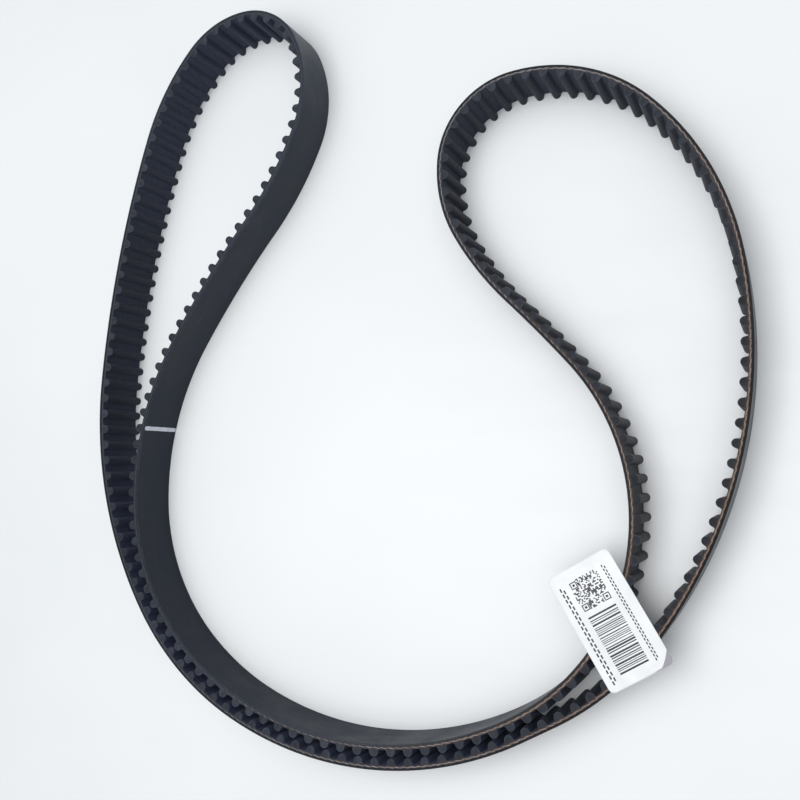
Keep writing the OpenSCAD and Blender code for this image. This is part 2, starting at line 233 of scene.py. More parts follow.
class Solid:
    """Collects closed sweeps and slabs into one mesh."""

    def __init__(self):
        self.verts, self.faces, self.uvs, self.values, self.count = [], [], [], {}, 0

    def add(self, verts, faces, uvs, values):
        self.verts.append(verts)
        self.faces += [f + self.count for f in faces]
        self.uvs += [uv.reshape(-1, 2) for uv in uvs]
        for key, data in values.items():
            self.values.setdefault(key, []).append(data.ravel())
        self.count += len(verts)

    def sweep(self, s, o, z, u, values):
        """A closed ring of M points at each of N places.

        s, o, z and the values broadcast to (N, M); u is the UV length (N,).
        """
        s, o, z = np.broadcast_arrays(s, o, z)
        n, m = s.shape
        sides = np.hypot(np.roll(o[0], -1) - o[0], np.roll(z[0], -1) - z[0])
        v = np.concatenate([[0], np.cumsum(sides)])
        i, j = grid_quads(n - 1, m)
        k = (j + 1) % m
        quads = np.stack([i * m + j, (i + 1) * m + j, (i + 1) * m + k, i * m + k], -1)
        quad_uv = np.stack([u[i], v[j], u[i + 1], v[j], u[i + 1], v[j + 1], u[i], v[j + 1]], -1)
        caps = np.stack([np.arange(m), np.arange(m)[::-1] + (n - 1) * m])
        cap_uv = np.stack([np.stack([o[0], z[0]], -1), np.stack([o[-1][::-1], z[-1][::-1]], -1)])
        values = {key: np.broadcast_to(data, (n, m)) for key, data in values.items()}
        self.add(belt_points(s, o, z).reshape(-1, 3), [quads, caps], [quad_uv, cap_uv], values)

    def slab(self, top, bottom, uv, values):
        """A closed sheet between two (N, M, 3) grids; uv is (N, M, 2)."""
        n, m = top.shape[:2]
        i, j = grid_quads(n - 1, m - 1)
        a, b, c, d = i * m + j, (i + 1) * m + j, (i + 1) * m + j + 1, i * m + j + 1
        upper = np.stack([a, b, c, d], -1)
        lower = np.stack([d, c, b, a], -1) + n * m
        rim = np.concatenate([np.arange(m - 1), np.arange(n - 1) * m + m - 1,
                              (n - 1) * m + np.arange(m - 1, 0, -1),
                              np.arange(n - 1, 0, -1) * m])
        after = np.roll(rim, -1)
        faces = [upper, lower, np.stack([rim, after, after + n * m, rim + n * m], -1)]
        both = np.concatenate([uv.reshape(-1, 2)] * 2)
        self.add(np.concatenate([top.reshape(-1, 3), bottom.reshape(-1, 3)]), faces,
                 [both[f] for f in faces],
                 {key: np.concatenate([data.ravel()] * 2) for key, data in values.items()})

    def build(self, name, material, sharp):
        values = {key: np.concatenate(data) for key, data in self.values.items()}
        return make_mesh(name, np.concatenate(self.verts), self.faces, np.concatenate(self.uvs),
                         values, material, sharp)


# ------------------------------------------------------------------ material helpers
class Shader:
    """Short names for building a node material."""

    def __init__(self, name, on_object=False):
        self.mat = bpy.data.materials.new(name)
        self.mat.use_nodes = True
        self.tree = self.mat.node_tree
        self.tree.nodes.clear()
        out = self.node("OutputMaterial")
        self.bsdf = self.node("BsdfPrincipled")
        self.tree.links.new(self.bsdf.outputs[0], out.inputs[0])
        if on_object:
            self.coords = self.node("TexCoord").outputs["Object"]
        else:
            uv = self.node("UVMap")
            uv.uv_map = "UVMap"
            self.coords = uv.outputs[0]  # mm along the belt, mm round the section

    def node(self, kind):
        return self.tree.nodes.new("ShaderNode" + kind)

    def put(self, socket, value):
        if isinstance(value, bpy.types.NodeSocket):
            self.tree.links.new(value, socket)
        elif socket.type == "RGBA":
            socket.default_value = (*value, 1)
        else:
            socket.default_value = value

    def attr(self, name):
        node = self.node("Attribute")
        node.attribute_name = name
        return node.outputs["Fac"]

    def attrs(self, *names):
        return [self.attr(name) for name in names]

    def math(self, operation, *values):
        node = self.node("Math")
        node.operation = operation
        node.inputs[1].default_value = 0.0
        for socket, value in zip(node.inputs, values):
            self.put(socket, value)
        return node.outputs[0]

    def product(self, a, b):
        return self.math("MULTIPLY", a, b)

    def noise(self, scale, detail=3.0, rough=0.55, along=1.0, across=1.0, offset=(0, 0),
              distortion=0.0):
        """along and across multiply the coordinates, so a small one stretches the noise."""
        mapping = self.node("Mapping")
        self.put(mapping.inputs["Vector"], self.coords)
        mapping.inputs["Scale"].default_value = (along, across, 1.0)
        mapping.inputs["Location"].default_value = (*offset, 0)
        node = self.node("TexNoise")
        self.put(node.inputs["Vector"], mapping.outputs[0])
        node.inputs["Scale"].default_value = scale
        node.inputs["Detail"].default_value = detail
        node.inputs["Roughness"].default_value = rough
        node.inputs["Distortion"].default_value = distortion
        return node.outputs["Fac"]

    def ramp(self, value, low, high, to=(0.0, 1.0)):
        """A smooth step of value from low..high to the range `to`."""
        node = self.node("MapRange")
        node.interpolation_type = "SMOOTHSTEP"
        self.put(node.inputs["Value"], value)
        node.inputs["From Min"].default_value = low
        node.inputs["From Max"].default_value = high
        node.inputs["To Min"].default_value, node.inputs["To Max"].default_value = to
        return node.outputs["Result"]

    def mix(self, factor, a, b, blend="MIX"):
        node = self.node("Mix")
        node.data_type = "RGBA"
        node.blend_type = blend
        for index, value in ((0, factor), (6, a), (7, b)):  # 6 and 7 are the colour sockets
            self.put(node.inputs[index], value)
        return node.outputs[2]

    def tint(self, a, b):
        return self.mix(1.0, a, b, blend="MULTIPLY")

    def bump(self, height, depth, strength, normal=None):
        """depth is in mm."""
        node = self.node("Bump")
        node.inputs["Distance"].default_value = depth * 0.001
        node.inputs["Strength"].default_value = strength
        self.put(node.inputs["Height"], height)
        if normal is not None:
            self.put(node.inputs["Normal"], normal)
        return node.outputs[0]

    def finish(self, colour, roughness, specular, normal, sheen=None):
        inputs = {"Base Color": colour, "Roughness": roughness, "Specular IOR Level": specular,
                  "Normal": normal}
        inputs.update({"Sheen " + key: value for key, value in (sheen or {}).items()})
        for name, value in inputs.items():
            self.put(self.bsdf.inputs[name], value)
        return self.mat


def rgb(*levels):
    """sRGB 0-255 to linear."""
    return tuple(c / 255 / 12.92 if c / 255 <= 0.04045 else ((c / 255 + 0.055) / 1.055) ** 2.4
                 for c in levels)


# ------------------------------------------------------------------ materials
# the brown that stains the toothed side's cut edge
STAIN_DARK, STAIN_LIGHT = rgb(46, 36, 31), rgb(92, 74, 64)


def backing_material():
    m = Shader("backing_rubber")
    cut, edge, brown, painted_light_and_dust, gloss = m.attrs("cut", "edge", "brown", "painted_light_and_dust", "gloss")
    # smooth back: dark clouds and light specks
    clouds = m.noise(0.06, detail=4, rough=0.6)
    speck = m.noise(0.9, rough=0.6)
    back = m.mix(m.ramp(clouds, 0.3, 0.72), rgb(19, 28, 43), rgb(26, 36, 53))
    back = m.mix(m.product(m.ramp(speck, 0.55, 0.75), 0.25), back, rgb(46, 54, 66))
    # dusty streaks and fine lengthwise scratches, both in patches
    streak = m.noise(0.5, detail=5, rough=0.62, along=0.22, across=0.9, distortion=0.6)
    patch = m.noise(0.035, detail=2, rough=0.5, offset=(31, 7))
    dust = m.product(m.ramp(streak, 0.6, 0.78), m.ramp(patch, 0.48, 0.68))
    back = m.mix(m.product(dust, 0.5), back, rgb(118, 124, 130))
    scratch = m.noise(1.0, detail=2, rough=0.5, along=0.05, across=2.6, offset=(3, 50))
    scratch = m.product(m.ramp(scratch, 0.66, 0.72), m.ramp(patch, 0.4, 0.55))
    back = m.mix(m.product(scratch, 0.35), back, rgb(110, 116, 122))
    # cut edge: tooling lines, browned on part of the belt
    tooling = m.noise(2.2, detail=4, rough=0.65, along=0.35, across=2.2)
    ground = m.mix(m.ramp(tooling, 0.3, 0.75), rgb(30, 35, 43), rgb(50, 56, 66))
    blotches = m.noise(0.7, detail=4, rough=0.6, along=0.5, across=1.5)
    stain = m.product(brown, m.ramp(blotches, 0.25, 0.6, to=(0.45, 1.0)))
    browned = m.mix(m.ramp(tooling, 0.35, 0.7), rgb(38, 32, 29), rgb(64, 55, 50))
    ground = m.mix(stain, ground, browned)
    # painted light and shade over both: a gain, limited in strength, which on the back also mixes
    # in a pale dust colour as painted light
    back = m.mix(m.ramp(painted_light_and_dust, 1.0, 2.0, to=(0.0, 0.2)), back, rgb(98, 104, 98))
    painted_light_limit = m.ramp(cut, 0.0, 1.0, to=(1.25, 2.0))
    colour = m.tint(m.mix(cut, back, ground), m.math("MINIMUM", painted_light_and_dust, painted_light_limit))
    # worn corners, made lighter also as a painted highlight along the rim
    wear_and_highlight = m.ramp(m.noise(0.35, detail=4, rough=0.6), 0.35, 0.65, to=(0.25, 0.9))
    colour = m.mix(m.product(edge, wear_and_highlight), colour, rgb(66, 72, 81))
    # the cut face and the dust are rougher
    rough = m.ramp(clouds, 0.3, 0.7, to=(0.42, 0.56))
    rough = m.math("ADD", rough, m.product(cut, 0.2))
    rough = m.math("ADD", rough, m.product(dust, 0.2))
    fine = m.bump(m.noise(4.0, rough=0.6), depth=0.02, strength=0.6)
    wavy = m.bump(m.noise(0.12, detail=2, rough=0.5), depth=0.12, strength=0.5, normal=fine)
    return m.finish(
        colour, rough,
        specular=m.product(m.ramp(cut, 0.0, 1.0, to=(0.27, 0.15)), gloss),
        normal=m.bump(m.product(tooling, cut), depth=0.06, strength=0.8, normal=wavy),
        sheen={"Weight": 0.04, "Roughness": 0.5, "Tint": (0.75, 0.82, 0.92)})


def tooth_material():
    m = Shader("tooth_rubber")
    cut, tone, stain = m.attrs("cut", "tone", "stain")
    streak = m.noise(1.6, detail=5, rough=0.65, along=0.35, across=2.0)
    grain = m.noise(5.0, rough=0.6)
    colour = m.mix(m.ramp(streak, 0.25, 0.78), rgb(35, 40, 50), rgb(60, 66, 78))
    colour = m.mix(m.product(m.ramp(grain, 0.55, 0.8), 0.3), colour, rgb(86, 91, 100))
    shade = m.mix(m.ramp(tone, 0.0, 1.0), (0.3, 0.3, 0.3), (1.0, 1.0, 1.0))
    brown = m.mix(m.ramp(grain, 0.35, 0.7), STAIN_DARK, STAIN_LIGHT)
    relief = m.product(m.math("ADD", streak, m.product(grain, 0.5)), cut)
    return m.finish(m.mix(m.product(stain, 0.85), m.tint(colour, shade), brown),
                    roughness=m.ramp(grain, 0.3, 0.7, to=(0.62, 0.82)),
                    specular=0.3,
                    normal=m.bump(relief, depth=0.07, strength=0.8))


WARP_PITCH, WEFT_PITCH = 0.36, 0.44
TWILL_SLOPE = 0.62  # shift along the belt for each mm round the section


def facing_material():
    m = Shader("facing_fabric")
    cut, crest, tone, edge, stain, painted_light_and_dust = m.attrs("cut", "crest", "tone", "edge", "stain", "painted_light_and_dust")
    axes = m.node("SeparateXYZ")
    m.put(axes.inputs[0], m.coords)
    u, v = axes.outputs[0], axes.outputs[1]

    def wave(place, pitch):
        return m.math("SINE", m.product(place, 2 * math.pi / pitch))

    # twill: diagonal ribs over crossing threads, brought to 0..1
    ribs = wave(m.math("ADD", u, m.product(v, TWILL_SLOPE)), 2 * WARP_PITCH)
    threads = m.product(wave(u, WARP_PITCH), wave(v, WEFT_PITCH))
    weave = m.math("ADD", m.product(ribs, 0.6), m.product(threads, 0.4))
    weave = m.math("MULTIPLY_ADD", weave, 0.5, 0.5)
    blot = m.noise(0.5, detail=4, rough=0.6)
    colour = m.mix(m.ramp(weave, 0.15, 0.9), rgb(25, 30, 43), rgb(40, 46, 61))
    colour = m.mix(m.product(m.ramp(blot, 0.5, 0.75), 0.4), colour, rgb(56, 61, 71))
    # high threads wear on the crests. Painted light: the lands are made lighter than the crests,
    # to offset the shade between the teeth
    patches = m.ramp(m.noise(0.25, rough=0.6, offset=(9, 3)), 0.35, 0.7, to=(0.15, 0.7))
    worn = m.product(m.product(crest, m.ramp(weave, 0.45, 0.95)), patches)
    colour = m.mix(m.product(worn, 0.5), colour, rgb(58, 63, 73))
    colour = m.tint(colour, m.mix(crest, (1.62, 1.62, 1.62), (0.9, 0.9, 0.9)))
    # painted light and shade: brightens a little, then covers with a pale dust colour that is
    # painted light too
    colour = m.tint(colour, m.math("MINIMUM", painted_light_and_dust, 1.3))
    dust_and_painted_light_colour = m.mix(m.ramp(weave, 0.15, 0.9), rgb(66, 73, 98), rgb(84, 92, 118))
    colour = m.mix(m.ramp(painted_light_and_dust, 1.0, 3.4, to=(0.0, 0.9)), colour, dust_and_painted_light_colour)
    # cut rim and its corners
    rim = m.mix(m.ramp(tone, 0.0, 1.0), rgb(34, 37, 44), rgb(72, 77, 86))
    brown = m.mix(m.ramp(blot, 0.35, 0.65), STAIN_DARK, STAIN_LIGHT)
    rim = m.mix(m.product(stain, 0.85), rim, brown)
    colour = m.mix(m.product(cut, 0.9), colour, rim)
    threads_bump = m.bump(weave, depth=0.05, strength=0.9)
    return m.finish(m.mix(m.product(edge, 0.3), colour, rgb(66, 71, 80)),
                    roughness=m.ramp(weave, 0.1, 0.9, to=(0.72, 0.55)),
                    specular=0.22,
                    normal=m.bump(m.noise(0.6, rough=0.6), depth=0.06, strength=0.5,
                                  normal=threads_bump),
                    sheen={"Weight": 0.04, "Roughness": 0.4})


def cord_material():
    m = Shader("tension_cord")
    fibre, brown = m.attrs("fibre", "brown")
    hairs = m.noise(2.4, detail=5, rough=0.7, along=0.6, across=5.0)
    # coated cord, slate to brown
    slate = m.mix(m.ramp(hairs, 0.3, 0.7), rgb(41, 45, 53), rgb(62, 67, 76))
    browned = m.mix(m.ramp(hairs, 0.3, 0.7), rgb(52, 41, 36), rgb(90, 73, 64))
    coated = m.mix(m.ramp(brown, 0.1, 0.7), slate, browned)
    # opened fibres, pale, in broken runs and faint where there is no brown
    opened = m.mix(m.ramp(hairs, 0.25, 0.62),
                   m.mix(brown, rgb(78, 78, 82), rgb(68, 53, 45)),
                   m.mix(brown, rgb(164, 164, 168), rgb(152, 128, 111)))
    broken = m.noise(0.75, detail=5, rough=0.72, along=0.8, offset=(5, 0))
    shown = m.product(fibre, m.ramp(broken, 0.36, 0.6, to=(0.28, 1.0)))
    shown = m.product(shown, m.ramp(brown, 0.0, 0.4, to=(0.15, 1.0)))
    return m.finish(m.mix(shown, coated, opened),
                    roughness=m.ramp(hairs, 0.3, 0.7, to=(0.5, 0.75)),
                    specular=0.4,
                    normal=m.bump(hairs, depth=0.05, strength=0.9),
                    sheen={"Weight": 0.1})


def paint_material():
    m = Shader("mark_paint")
    thin = m.noise(1.3, detail=5, rough=0.65)
    worn = m.ramp(thin, 0.56, 0.74)
    clouds = m.ramp(m.noise(0.5, rough=0.6), 0.3, 0.7)
    colour = m.mix(clouds, rgb(200, 203, 217), rgb(222, 225, 236))
    return m.finish(m.mix(m.product(worn, 0.55), colour, rgb(112, 116, 128)),
                    roughness=m.ramp(thin, 0.3, 0.7, to=(0.4, 0.62)),
                    specular=0.4,
                    normal=m.bump(thin, depth=0.03, strength=0.7))


def paper_material(name, low, high, rough, specular, depth, tab_shade_colour=None):
    """Paper clouded between the colours low and high, with another colour painted as shade where
    the liner's corner bends down.
    """
    m = Shader(name)
    pulp = m.noise(2.5, detail=5, rough=0.7)
    cloud = m.noise(0.08)
    colour = m.mix(m.ramp(cloud, 0.3, 0.7), low, high)
    colour = m.mix(m.product(m.ramp(pulp, 0.55, 0.8), 0.08), colour, tuple(c * 0.8 for c in low))
    # painted shade: a darker colour where the liner's corner bends down
    if tab_shade_colour:
        colour = m.mix(m.attr("tab_shade"), colour, tab_shade_colour)
    relief = m.math("ADD", pulp, m.product(cloud, 3.0))
    return m.finish(colour,
                    roughness=m.ramp(pulp, 0.3, 0.7, to=(rough - 0.05, rough + 0.05)),
                    specular=specular,
                    normal=m.bump(relief, depth=depth, strength=0.5))


def ink_material():
    m = Shader("label_ink")
    toner = m.noise(6.0, rough=0.6)
    return m.finish(m.mix(m.ramp(toner, 0.35, 0.75), rgb(30, 31, 36), rgb(62, 63, 70)),
                    roughness=m.ramp(toner, 0.3, 0.7, to=(0.45, 0.6)),
                    specular=0.4,
                    normal=m.bump(toner, depth=0.01, strength=0.5))


def table_material():
    m = Shader("table_top", on_object=True)  # so its noise scales are per metre
    cloud = m.noise(3.0)
    fine = m.noise(900.0, rough=0.6)
    smear = m.noise(26.0, detail=5, rough=0.6, along=0.4, across=1.6, distortion=0.4)
    colour = m.mix(m.ramp(cloud, 0.3, 0.7), (0.80, 0.825, 0.84), (0.86, 0.875, 0.885))
    smeared = m.product(m.ramp(smear, 0.66, 0.8), 0.12)
    return m.finish(m.mix(smeared, colour, (0.70, 0.72, 0.74)),
                    roughness=m.ramp(smear, 0.3, 0.7, to=(0.42, 0.55)),
                    specular=0.35,
                    normal=m.bump(fine, depth=0.004, strength=0.3))


# ------------------------------------------------------------------ looks round the belt
# All are (s, value) keys. How far the edge cut has opened the cord:
OPEN = [
    (0, 0.42), (60, 0.58), (150, 0.82), (215, 0.85), (300, 0.95), (430, 0.92), (510, 0.85),
    (590, 1.0), (640, 0.8), (740, 0.5), (800, 0.85), (850, 0.95), (925, 1.0), (1000, 0.6),
    (1080, 0.4), (1130, 0.25), (1300, 0.2), (1500, 0.2), (1700, 0.25), (1783, 0.42),
]
# how brown the cut face is
BROWN = [
    (0, 0.06), (60, 0.14), (140, 0.35), (215, 0.6), (300, 0.95), (430, 0.8), (520, 0.42),
    (600, 0.2), (700, 0.35), (780, 0.6), (850, 0.95), (925, 0.65), (1000, 0.35), (1090, 0.1),
    (1130, 0.02), (1300, 0.0), (1700, 0.0), (1783, 0.06),
]
# how light the cut ends of the teeth are
SHADE = [
    (0, 0.82), (150, 0.8), (230, 0.6), (330, 0.32), (440, 0.47), (520, 0.8), (600, 0.86),
    (660, 0.65), (740, 0.56), (815, 0.26), (870, 0.55), (930, 0.72), (1000, 0.9), (1090, 0.92),
    (1160, 0.62), (1260, 0.73), (1340, 0.75), (1410, 0.9), (1440, 0.95), (1520, 0.9),
    (1680, 0.9), (1760, 0.66),
]
# painted light and shade, set along the belt, on the smooth back, the cut backing and the facing:
# over 1 lightens, and on the back and the facing also mixes in a pale dust colour; under darkens
PAINTED_LIGHT_BACK = [
    (0, 2.0), (100, 1.8), (230, 1.3), (300, 1.9), (480, 1.9), (560, 1.3), (650, 0.9), (740, 0.6),
    (830, 0.9), (900, 0.9), (980, 0.85), (1085, 0.75), (1160, 0.8), (1300, 0.8), (1390, 0.95),
    (1470, 1.7), (1560, 1.5), (1620, 1.25), (1700, 1.6), (1750, 2.0),
]
PAINTED_LIGHT_CUT = [
    (0, 0.8), (150, 0.8), (250, 0.5), (340, 0.36), (440, 0.66), (600, 0.72), (680, 0.92),
    (740, 0.74), (815, 0.98), (880, 1.1), (930, 1.45), (1000, 2.0), (1085, 1.5), (1160, 0.92),
    (1260, 1.0), (1350, 1.5), (1410, 1.4), (1470, 1.05), (1525, 1.4), (1580, 0.85),
    (1690, 0.62), (1750, 0.55),
]
PAINTED_LIGHT_FACING = [
    (0, 3.4), (190, 3.4), (240, 1.1), (300, 0.45), (380, 0.48), (480, 0.8), (560, 1.0),
    (620, 1.05), (660, 0.65), (740, 0.5), (815, 0.45), (870, 0.8), (910, 3.4), (1100, 3.4),
    (1190, 2.2), (1240, 1.2), (1400, 1.1), (1460, 1.7), (1540, 1.3), (1600, 1.0), (1690, 1.1),
    (1740, 2.4),
]
# gloss of the backing
GLOSS = [(0, 1.0), (870, 1.0), (940, 0.55), (1090, 0.5), (1180, 0.75), (1300, 0.85), (1400, 1.0)]

# ------------------------------------------------------------------ backing
# (o, z, cut face, corner) round the section
BACKING_RING = np.array(
    [(-CORD_EDGE, 0.03, 1, 0), (-0.85, 0.0, 1, 0), (-1.27, 0.0, 1, 0), (-1.40, 0.045, 0.6, 1),
     (BACK, 0.17, 0, 1), (BACK, 0.6, 0, 0)]
    + [(BACK, z, 0, 0) for z in (2.5, 5.5, 8.5, 11.5, 14.5, 17.5, 20.5, 23.5)]
    + [(BACK, 25.4, 0, 0), (BACK, 25.83, 0, 1), (-1.40, 25.955, 0.6, 1), (-1.27, WIDTH, 1, 0),
       (-0.85, WIDTH, 1, 0), (-CORD_EDGE, 25.97, 1, 0)])


def backing_solid(solid, start, end):
    s = np.arange(start, end + 0.5, 1.0)
    o = np.tile(BACKING_RING[:, 0], (len(s), 1))
    z = np.tile(BACKING_RING[:, 1], (len(s), 1))
    cut, edge = BACKING_RING[:, 2], BACKING_RING[:, 3]
    for j, (ring_o, ring_z, is_cut, is_corner) in enumerate(BACKING_RING):
        if ring_o == BACK and not is_corner:
            o[:, j] += 0.014 * ripple(s + 7 * ring_z, seed=5, lowest=20, highest=160)
        if is_cut == 1 and ring_z > WIDTH / 2:
            z[:, j] += 0.014 * grains(s, seed=40 + j)
        if is_corner:
            o[:, j] += 0.012 * np.abs(grains(s, seed=80 + j))
    # the gain keyed along the belt is painted light and shade
    painted_light_and_dust = keyed(s, PAINTED_LIGHT_BACK)[:, None] * (1 - cut) + keyed(s, PAINTED_LIGHT_CUT)[:, None] * cut
    solid.sweep(s[:, None], o, z, s,
                {"cut": cut, "edge": edge, "painted_light_and_dust": painted_light_and_dust, "gloss": keyed(s, GLOSS)[:, None],
                 "brown": keyed(s, BROWN)[:, None]})


# ------------------------------------------------------------------ teeth
# half a tooth's width at the land, where the root fillet begins
HALF_FOOT = (CREST_R + ROOT_R
             - math.sin(FLANK) * (ROOT_R - TOOTH + CREST_R)) / math.cos(FLANK)


def half_tooth(inside):
    """Right half from foot to crest; inside is the depth below the finished surface."""
    points = []
    for a in np.linspace(0, math.pi / 2 - FLANK, 6):
        points.append((HALF_FOOT - (ROOT_R + inside) * math.sin(a),
                       ROOT_R - (ROOT_R + inside) * math.cos(a)))
    for a in np.linspace(FLANK, math.pi / 2, 9)[:-1]:
        points.append(((CREST_R - inside) * math.cos(a),
                       TOOTH - CREST_R + (CREST_R - inside) * math.sin(a)))
    return points


def tooth_columns(start, end, inside):
    """s, height above the land and tooth number along the toothed side, land to land."""
    half = half_tooth(inside)
    whole = [(-x, y) for x, y in half] + [(0.0, TOOTH - inside)] + half[::-1]
    first, stop = int(round(start / PITCH)), int(round(end / PITCH))
    points = []
    for n in range(first, stop):
        points.append((n * PITCH, -inside, n))
        points += [((n + 0.5) * PITCH + x, y, n) for x, y in whole]
    points.append((end, -inside, stop - 1))
    return np.array(points).T


def tooth_tone(number):
    tones = np.random.RandomState(3).uniform(0, 1, TEETH)
    return tones[np.mod(number.astype(int), TEETH)]


# (share of the height from cord to surface, z) round the section
TOOTH_RING = np.array([(0.0, 0.01), (0.18, 0.0), (0.5, 0.0), (1.0, 0.0), (1.0, 25.99),
                       (0.5, WIDTH), (0.18, WIDTH), (0.0, 25.98)])
TOOTH_ROUGH_POINT = 5  # the ring point on the upper face that is jittered


def tooth_solid(solid, start, end):
    s, height, number = tooth_columns(start, end, FACING)
    share = TOOTH_RING[:, 0]
    o = CORD_EDGE + (LAND + height[:, None] - CORD_EDGE) * share
    z = np.tile(TOOTH_RING[:, 1], (len(s), 1))
    z[:, TOOTH_ROUGH_POINT] += 0.012 * grains(s, seed=21, step=0.25)
    tone = keyed(s, SHADE) - 0.3 + 0.3 * tooth_tone(number)
    stain = keyed(s, BROWN)[:, None] * (1 - smooth(0.5, 1.15, o))
    solid.sweep(s[:, None], o, z, s, {"cut": 1.0, "tone": tone[:, None], "stain": stain})


# (share of the thickness from inside to finished surface, z, cut face, corner)
FACING_RING = np.array([
    (0.0, 0.015, 1, 0), (0.75, 0.0, 1, 0), (1.0, 0.05, 0.4, 1), (1.0, 0.5, 0, 0),
    (1.0, 4.0, 0, 0), (1.0, 9.0, 0, 0), (1.0, 13.0, 0, 0), (1.0, 17.0, 0, 0), (1.0, 22.0, 0, 0),
    (1.0, 25.5, 0, 0), (1.0, 25.95, 0.4, 1), (0.75, WIDTH, 1, 0), (0.0, 25.985, 1, 0)])
FACING_ROUGH_POINT = 11


def facing_solid(solid, start, end):
    s, height, number = tooth_columns(start, end, 0.0)
    inner_s, inner_height, _ = tooth_columns(start, end, FACING)
    share, ring_z, cut, edge = FACING_RING.T
    ring_s = inner_s[:, None] + (s - inner_s)[:, None] * share
    o = LAND + inner_height[:, None] + (height - inner_height)[:, None] * share
    z = np.tile(ring_z, (len(s), 1))
    z[:, FACING_ROUGH_POINT] += 0.02 * grains(s, seed=33, step=0.2)
    # the UV follows the surface up and down the teeth
    u = start + np.concatenate([[0], np.cumsum(np.hypot(np.diff(s), np.diff(height)))])
    stain = keyed(s, BROWN) * (1 - smooth(0.1, 1.3, height))
    # the gain keyed along the facing is painted light and shade
    solid.sweep(ring_s, o, z, u,
                {"stain": stain[:, None], "painted_light_and_dust": keyed(s, PAINTED_LIGHT_FACING)[:, None], "cut": cut,
                 "edge": edge, "crest": smooth(1.6, 3.0, height)[:, None],
                 "tone": tooth_tone(number + 57)[:, None]})


# ------------------------------------------------------------------ cords
# (o, z) of the band that fills the belt between its edges
CORE_RING = np.array([(-0.43, 0.22), (0.0, 0.30), (0.43, 0.22),
                      (0.43, 25.74), (0.0, 25.66), (-0.43, 25.74)])
LAY = 7.2  # length of one twist, fitted to a whole number of twists
PLY_O, PLY_Z = 0.25, 0.235  # half sizes of a ply
PLY_ORBIT_O, PLY_ORBIT_Z = 0.2, 0.19


def cord_solid(solid, start, end):
    s = np.arange(start, end + 1, 2.0)
    solid.sweep(s[:, None], CORE_RING[:, 0], CORE_RING[:, 1], s,
                {"fibre": 0.0, "cut": 0.0, "brown": keyed(s, BROWN)[:, None]})
    # two twisted plies opened by the cut at the upper and the lower edge
    s = np.arange(start, end + 0.25, 0.5)
    opening = np.clip(keyed(s, OPEN) + 0.06 * ripple(s, seed=11, lowest=10, highest=90), 0, 1)
    twist = 2 * math.pi * s / (LENGTH / round(LENGTH / LAY))
    around = np.linspace(0, 2 * math.pi, 9)[:-1] + 0.2
    limit = (WIDTH + 0.012 * grains(s, seed=90, step=0.5))[:, None]
    for side in (1, -1):
        for ply in (0, 1):
            angle = (twist + math.pi * ply + side
                     + 0.5 * ripple(s, seed=12, lowest=5, highest=50))
            centre_o = (PLY_ORBIT_O * np.cos(angle)
                        + 0.03 * ripple(s, seed=13, lowest=10, highest=100))
            centre_z = WIDTH - 0.62 + 0.5 * opening + PLY_ORBIT_Z * np.sin(angle)
            o = np.clip(centre_o[:, None] + PLY_O * np.cos(around), -0.395, 0.395)
            z = centre_z[:, None] + PLY_Z * np.sin(around)
            fibre = smooth(-0.09, 0.05, z - limit)
            z = np.minimum(z, limit)
            if side < 0:
                z = WIDTH - z
            solid.sweep(s[:, None], o, z, s,
                        {"fibre": fibre, "cut": 0.0, "brown": keyed(s, BROWN)[:, None]})


# the label's own axes: u along it and v across it, from its middle
label_low, label_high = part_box("paper_label")
label_middle = (label_low + label_high) * 500.0
LABEL_Z = label_low.z * 1000.0
LABEL_ANGLE = math.radians(120.5)
LABEL_COS, LABEL_SIN = math.cos(LABEL_ANGLE), math.sin(LABEL_ANGLE)


def under_label(s, o):
    """True where a belt point lies under the label's liner, with a little to spare."""
    points = belt_points(s, o, 0.0)
    x, y = points[..., 0] - label_middle.x, points[..., 1] - label_middle.y
    return ((np.abs(x * LABEL_COS + y * LABEL_SIN) < 27.0)
            & (np.abs(y * LABEL_COS - x * LABEL_SIN) < 15.5))


def fray_solid(solid, start, end):
    """Short glass fibres standing out of the cut at the upper edge."""
    random = np.random.RandomState(19)
    t = np.linspace(0, 1, 5)
    around = np.array([0.3, 2.394, 4.489])  # three-sided fibres
    for _ in range(1500):
        s = random.uniform(0, LENGTH)
        chance = random.uniform()
        side = random.choice([-1, 1])
        run = random.uniform(0.5, 2.2) * side
        rise = random.uniform(0.05, 0.5)
        lean = random.uniform(-0.5, 0.5)
        root = random.uniform(-0.35, 0.35)
        thick = random.uniform(0.018, 0.032)
        bend = random.uniform(-0.3, 0.3)
        if chance > 0.9 * keyed(s, OPEN) ** 2:
            continue
        if not start + 3 < s < end - 3:
            s += LENGTH
            if not start + 3 < s < end - 3:
                continue
        if under_label(s + run * np.array([0.0, 0.5, 1.0]), root).any():
            rise = min(rise, 0.03)  # pressed flat by the label
        fibre_s = s + run * t
        fibre_o = np.clip(root + lean * t + bend * t * (1 - t), -1.3, 0.9)
        fibre_z = 25.93 + rise * np.sin(t * math.pi * 0.6)
        radius = (thick * (1 - 0.6 * t))[:, None]
        solid.sweep(fibre_s[:, None], fibre_o[:, None] + radius * np.cos(around),
                    fibre_z[:, None] + radius * np.sin(around), fibre_s,
                    {"fibre": 1.0, "cut": 0.0, "brown": 1.0})


# ------------------------------------------------------------------ the belt in thirds
# The belt crosses three hinges and is built in thirds, one for each hinge: (name, joint, the
# belt's direction across it in degrees, spans of s)
THIRDS = [
    ("left", "left_loop_swing", 121.2, [(1080, LENGTH + 56)]),
    ("middle", "base_bend", -13.7, [(56, 152), (984, 1080)]),
    ("right", "right_loop_swing", 25.3, [(152, 984)]),
]
